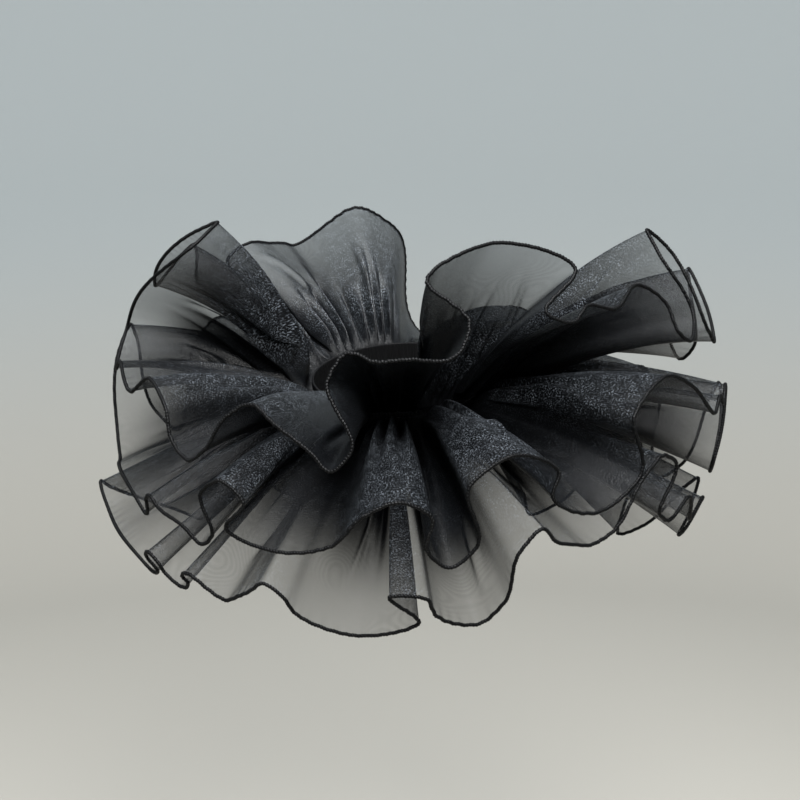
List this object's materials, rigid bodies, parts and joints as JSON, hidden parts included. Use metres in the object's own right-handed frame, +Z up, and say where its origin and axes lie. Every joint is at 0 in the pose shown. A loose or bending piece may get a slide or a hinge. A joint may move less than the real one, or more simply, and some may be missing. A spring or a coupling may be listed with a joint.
{
  "type": "ruffled collar",
  "caption": "Ruffled collar: deep gathered ruffles of sheer black organza with corded, fluted hems stand out all round a ribbon neck band.",
  "frame": {"origin": "middle of the neck opening, at half the height of the neck band", "axes": "+Z up as worn, -Y to the wearer's front, +X to the wearer's left"},
  "size_m": [0.4685, 0.4592, 0.2856],
  "materials": {
    "organza_upper": "sheer plain-weave organza, crisp, with a glassy sheen on the folds and a corded hem",
    "organza_middle": "sheer plain-weave organza, crisp, with a glassy sheen on the folds and a corded hem",
    "organza_lower": "sheer plain-weave organza, crisp, with a glassy sheen on the folds and a corded hem",
    "band_ribbon": "doubled black ribbon with elastic inside"
  },
  "bodies": {
    "root": {"neck_band": "band_ribbon", "ruffle_upper": "organza_upper", "ruffle_middle": "organza_middle", "ruffle_lower": "organza_lower"}
  },
  "joints": []
}
